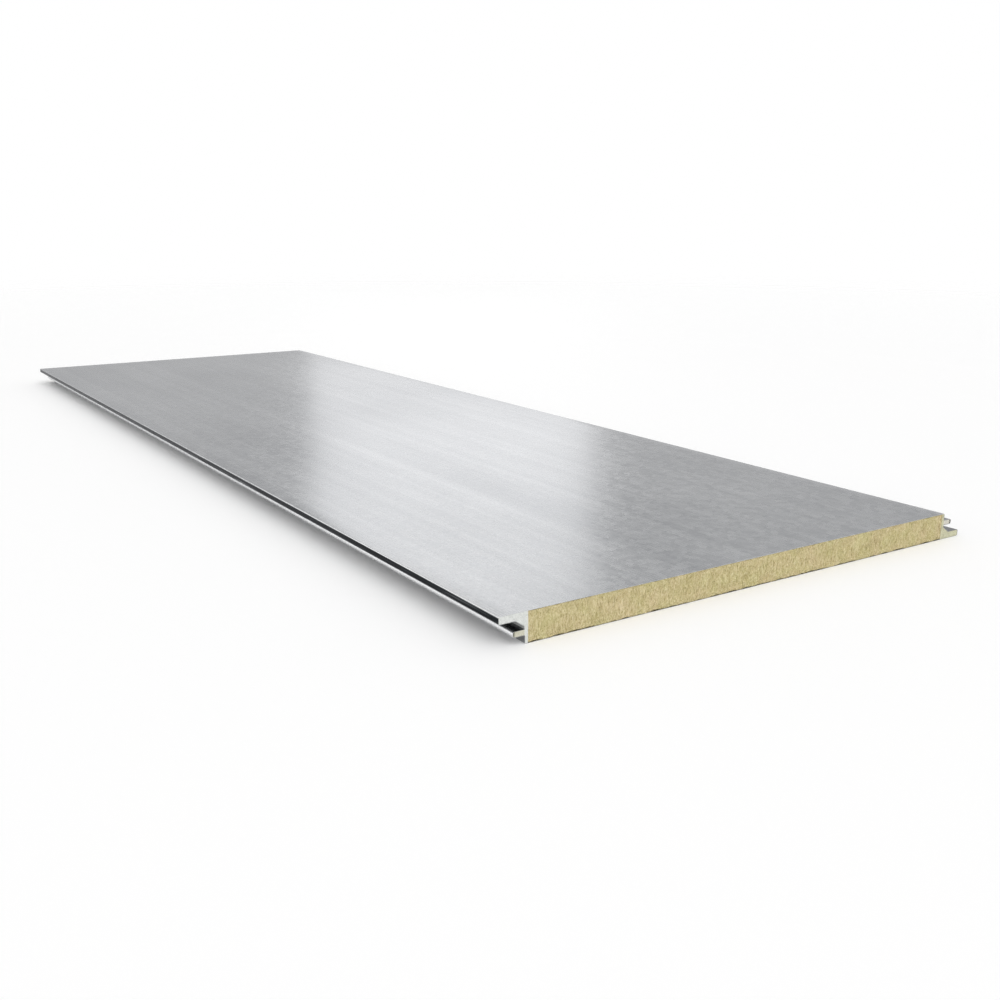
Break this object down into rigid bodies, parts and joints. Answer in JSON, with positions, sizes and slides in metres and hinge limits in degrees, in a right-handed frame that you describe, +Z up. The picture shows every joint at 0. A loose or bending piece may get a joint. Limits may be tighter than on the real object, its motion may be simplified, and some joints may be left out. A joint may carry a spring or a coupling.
{
  "type": "insulated wall panel",
  "caption": "Flat sandwich panel of mineral wool between profiled steel sheets, with foam-sealed edges whose lips and tongues lap the next panel.",
  "frame": {"origin": "middle of the underside of the panel, lying flat", "axes": "+Y along the panel's length, +X across its width from the lip edge of the top sheet to its tongue edge, +Z up through its thickness"},
  "size_m": [1.044, 3, 0.05],
  "materials": {
    "galvanised_steel": "bare galvanised, rolled, semi-gloss with lengthwise streaks",
    "mineral_wool": "cut fibres, matt, straw coloured",
    "white_foam": "cut rigid foam, matt, white",
    "cream_foam": "cut rigid foam, matt, cream"
  },
  "bodies": {
    "root": {"top_steel_sheet": "galvanised_steel", "bottom_steel_sheet": "galvanised_steel", "wool_core": "mineral_wool", "left_edge_seal": "white_foam", "right_edge_seal": "cream_foam"}
  },
  "joints": []
}
